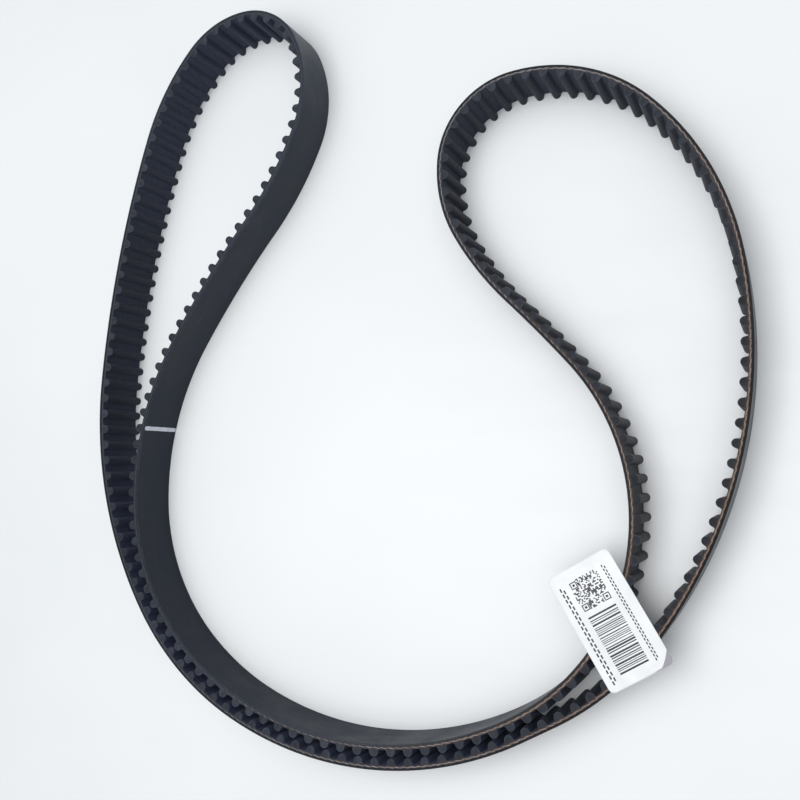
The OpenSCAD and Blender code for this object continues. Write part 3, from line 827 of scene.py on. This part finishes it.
# (name, material, slot, makers, sharp angle)
LAYERS = [
    ("backing", backing_material(), "backing_rubber", [backing_solid], 30.0),
    ("cords", cord_material(), "tension_cord", [cord_solid, fray_solid], 60.0),
    ("tooth_rubber", tooth_material(), "tooth_rubber", [tooth_solid], 50.0),
    ("facing", facing_material(), "facing_fabric", [facing_solid], 40.0),
]
joints = {joint["name"]: joint for joint in frame["joints"]}


def build_third(third, joint, angle, spans):
    parent, child = joint["parent"], joint["child"]
    pivot, angle = Vector(joint["pos_m"]), math.radians(angle)
    for layer, material, slot, makers, sharp in LAYERS:
        solid = Solid()
        for start, end in spans:
            for maker in makers:
                maker(solid, start, end)
        piece = solid.build(f"{third}_belt_{layer}", material, sharp)
        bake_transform(piece)
        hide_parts(f"{parent}_{layer}", f"{child}_{layer}")


for third_name, joint_name, bend_angle, third_spans in THIRDS:
    build_third(third_name, joints[joint_name], bend_angle, third_spans)

# ------------------------------------------------------------------ painted timing mark
MARK_S, MARK_HALF, MARK_CROWN = 1212.5, 1.04, 0.07


def build_mark():
    """A stripe across the back with uneven sides and slightly rounded ends."""
    random = np.random.RandomState(4)
    z = np.linspace(0.4, 25.6, 63)
    left, right = [
        MARK_HALF + 0.09 * np.convolve(random.uniform(-1, 1, 65), np.ones(3) / 3, "valid")
        for _ in range(2)]
    taper = np.sqrt(np.clip(1 - ((z - WIDTH / 2) / 12.61) ** 48, 0.3, 1))
    across = np.linspace(-1, 1, 9)
    half = np.where(across < 0, left[:, None], right[:, None])
    s = MARK_S + across * half * taper[:, None]
    s, z = np.broadcast_arrays(s, z[:, None])
    crown = MARK_CROWN * (1 - across ** 6)
    solid = Solid()
    solid.slab(belt_points(s, BACK - 0.005 - crown, z), belt_points(s, BACK + 0.03, z),
               np.stack([s, z], -1), {})
    mark = solid.build("timing_mark_paint", paint_material(), 60)
    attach(mark, "left_loop")
    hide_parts("timing_mark")


build_mark()

# ------------------------------------------------------------------ label and liner
LABEL_LENGTH, LABEL_WIDTH, LABEL_THICK = 50.0, 28.0, 0.15
CORNER = 2.5
FOLD = 5.4  # length of the slant at the label's (-u, -v) corner


def label_points(u, v, height):
    """The sheet rests on the belt; its (+u, +v) corner lifts, and its (-u, +v) corner less."""
    lift = (0.02 + 0.35 * smooth(8, 30, u) * smooth(-4, 16, v)
            + 0.10 * smooth(12, 26, -u) * smooth(2, 15, v))
    return np.stack([label_middle.x + u * LABEL_COS - v * LABEL_SIN,
                     label_middle.y + u * LABEL_SIN + v * LABEL_COS, height + lift], -1)


def label_uv(u, v):
    return np.stack([u + 100, v + 100], -1)


def rounded_grid(length, width, fold):
    """Sheet points with rounded corners; a fold slants the (-u, -v) corner."""
    low = max(CORNER, fold)

    def ticks(size, count):
        first = np.linspace(-size / 2, -size / 2 + low, 11 if fold else 6)[:-1]
        inner = np.linspace(-size / 2 + low, size / 2 - CORNER, count)
        return np.concatenate([first, inner, size / 2 - CORNER + np.linspace(0, CORNER, 6)[1:]])

    u, v = np.meshgrid(ticks(length, 25), ticks(width, 15), indexing="ij")
    folded = (u < 0) & (v < 0) & (fold > 0)
    margin = np.where(folded, fold, CORNER)
    power = np.where(folded, 1.15, 2.0)  # 2 is round, near 1 is a straight slant
    core_u = np.clip(u, -length / 2 + margin, length / 2 - CORNER)
    core_v = np.clip(v, -width / 2 + margin, width / 2 - CORNER)
    du, dv = u - core_u, v - core_v
    square = np.maximum(np.abs(du), np.abs(dv))
    distance = (np.abs(du) ** power + np.abs(dv) ** power) ** (1 / power)
    shrink = np.where(distance > 1e-9, square / np.maximum(distance, 1e-9), 1.0)
    return core_u + du * shrink, core_v + dv * shrink


def build_sheet(name, length, width, bottom, thick, material, node, shift_v=0.0, fold=0.0):
    u, v = rounded_grid(length, width, fold)
    v = v + shift_v
    # mask of the painted shade where the liner's corner bends down
    tab_shade = smooth(16.0, 20.0, -u) * smooth(4.0, 8.0, -v)
    solid = Solid()
    solid.slab(label_points(u, v, bottom + thick), label_points(u, v, bottom), label_uv(u, v),
               {"tab_shade": tab_shade})
    sheet = solid.build(name, material, 40)
    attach(sheet, "right_loop")
    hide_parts(node)


label_paper = paper_material("label_paper", rgb(224, 227, 229), rgb(237, 239, 241),
                             rough=0.42, specular=0.38, depth=0.012)
# the liner's grey corner is painted shade where it bends down
liner_paper = paper_material("liner_paper", rgb(214, 215, 220), rgb(226, 227, 232),
                             rough=0.5, specular=0.45, depth=0.02,
                             tab_shade_colour=rgb(150, 146, 157))
# the label lies on its liner, which shows where one corner of the label is turned under
build_sheet("label_liner_sheet", LABEL_LENGTH + 0.9, LABEL_WIDTH + 0.5, LABEL_Z - 0.12, 0.11,
            liner_paper, "label_liner", shift_v=0.15)
build_sheet("label_sheet", LABEL_LENGTH, LABEL_WIDTH, LABEL_Z, LABEL_THICK,
            label_paper, "paper_label", fold=FOLD)

# ------------------------------------------------------------------ label print
INK_Z = LABEL_Z + LABEL_THICK
CODE_LOW, CODE_HIGH = -5.8, 7.1  # v of the stripes; the dot grid starts at CODE_LOW
GRID, CELL, GRID_U = 23, 0.575, 7.1
CELL_FILL, CELL_GAP = 0.94, 0.06  # in cells
FINDER, FINDER_LINE = 6, 0.42  # cells kept clear for a corner square, and its line width


def bar(solid, u0, u1, v0, v1, steps=3):
    """A printed rectangle, divided along its longer side."""
    long_u = abs(u1 - u0) > abs(v1 - v0)
    u, v = np.meshgrid(np.linspace(u0, u1, steps if long_u else 2),
                       np.linspace(v0, v1, 2 if long_u else steps), indexing="ij")
    solid.slab(label_points(u, v, INK_Z + 0.008), label_points(u, v, INK_Z - 0.02),
               label_uv(u, v), {})


def print_dashes(solid, start, pitch, length, count, height, upper_v, lower_v):
    """Two rows of short dashes, laid like bricks."""
    for k in range(count):
        u = start + pitch * k
        bar(solid, u, u + length, upper_v, upper_v + height)
        if k < count - 1:
            u += pitch / 2
            bar(solid, u, u + length, lower_v, lower_v + height)


def print_stripes(solid, random):
    u = 4.6
    while u > -20.6:
        width = random.choice([0.3, 0.3, 0.45, 0.75])
        bar(solid, u - width, u, CODE_LOW, CODE_HIGH, steps=8)
        u -= width + random.choice([0.36, 0.42, 0.6, 0.8])


def print_grid(solid, random):
    """Random cells, joined into runs along v, with framed squares in three corners."""
    cells = random.uniform(size=(GRID, GRID)) < 0.5
    far = GRID - FINDER
    corners = ((0, 0), (0, far), (far, far))
    for a, b in corners:
        cells[a:a + FINDER, b:b + FINDER] = False
    for a in range(GRID):
        run = None
        for b in range(GRID + 1):
            on = b < GRID and cells[a, b]
            if on and run is None:
                run = b
            if not on and run is not None:
                bar(solid, GRID_U + a * CELL, GRID_U + (a + CELL_FILL) * CELL,
                    CODE_LOW + run * CELL, CODE_LOW + (b - CELL_GAP) * CELL)
                run = None
    for a, b in corners:
        u0, v0 = GRID_U + a * CELL + 0.1, CODE_LOW + b * CELL + 0.1
        u1, v1 = u0 + 5 * CELL, v0 + 5 * CELL
        bar(solid, u0, u1, v0, v0 + FINDER_LINE)
        bar(solid, u0, u1, v1 - FINDER_LINE, v1)
        bar(solid, u0, u0 + FINDER_LINE, v0 + FINDER_LINE, v1 - FINDER_LINE)
        bar(solid, u1 - FINDER_LINE, u1, v0 + FINDER_LINE, v1 - FINDER_LINE)
        bar(solid, u0 + 0.95, u1 - 0.95, v0 + 0.95, v1 - 0.95)


def build_print():
    """Plain dashes, stripes and a dot grid stand in for what a real label prints."""
    solid = Solid()
    print_dashes(solid, start=-22.6, pitch=2.4, length=1.6, count=18, height=0.65,
                 upper_v=10.95, lower_v=9.75)
    print_dashes(solid, start=-21.6, pitch=1.7, length=1.1, count=25, height=0.5,
                 upper_v=-8.8, lower_v=-9.7)
    random = np.random.RandomState(12)
    print_stripes(solid, random)
    print_grid(solid, random)
    ink = solid.build("label_print", ink_material(), 40)
    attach(ink, "right_loop")


build_print()

# ------------------------------------------------------------------ table
TABLE_HALF, TABLE_POINTS, TABLE_Z = 3000.0, 41, -0.05


def build_table():
    ticks = np.linspace(-TABLE_HALF, TABLE_HALF, TABLE_POINTS)
    x, y = np.meshgrid(ticks, ticks, indexing="ij")
    verts = np.stack([x, y, np.full_like(x, TABLE_Z)], -1).reshape(-1, 3)
    i, j = grid_quads(TABLE_POINTS - 1, TABLE_POINTS - 1)
    corner = i * TABLE_POINTS + j
    quads = np.stack([corner, corner + TABLE_POINTS, corner + TABLE_POINTS + 1, corner + 1], -1)
    table = make_mesh("table_top", verts, [quads], np.zeros((quads.size, 2)), {},
                      table_material(), 60, closed=False)


build_table()

# ------------------------------------------------------------------ light and camera, in metres
scene = bpy.context.scene
world = bpy.data.worlds.new("soft_room")
world.use_nodes = True
background = world.node_tree.nodes["Background"]
background.inputs["Color"].default_value = (0.93, 0.96, 1.0, 1)
background.inputs["Strength"].default_value = 0.3
scene.world = world


def area_light(name, place, size, power, colour):
    """A square lamp aimed at the origin."""
    data = bpy.data.lights.new(name, "AREA")
    data.shape = "RECTANGLE"
    data.size = data.size_y = size
    data.energy = power
    data.color = colour
    light = bpy.data.objects.new(name, data)
    scene.collection.objects.link(light)
    light.location = place
    light.rotation_mode = "QUATERNION"
    light.rotation_quaternion = (-Vector(place)).to_track_quat("-Z", "Y")


area_light("ceiling", place=(0.0, 0.1, 1.6), size=2.0, power=16.0, colour=(1.0, 0.995, 0.98))
area_light("lamp", place=(-0.04, 0.0, 0.95), size=0.6, power=4.2, colour=(0.97, 0.985, 1.0))

# the world's downward direction in the camera's axes; world X stays as near camera X as it can
DOWN_IN_CAMERA = np.array([0.38666268, -0.06878507, -0.91965243])


def build_camera():
    camera = bpy.data.objects.new("camera", bpy.data.cameras.new("camera"))
    scene.collection.objects.link(camera)
    camera.data.sensor_width = 36.0
    camera.data.sensor_fit = "HORIZONTAL"
    camera.data.lens = 42.675
    camera.data.clip_start, camera.data.clip_end = 0.02, 20.0
    down = DOWN_IN_CAMERA / np.linalg.norm(DOWN_IN_CAMERA)
    world_x = np.array([1.0, 0, 0]) - down[0] * down
    world_x /= np.linalg.norm(world_x)
    world_y = np.cross(-down, world_x)
    camera.rotation_mode = "QUATERNION"
    camera.rotation_quaternion = Matrix((world_x, world_y, -down)).to_quaternion()
    camera.location = (0.171416, -0.047778, 0.412852)
    scene.camera = camera
    scene.view_settings.view_transform = "Standard"


build_camera()

bpy.context.view_layer.update()
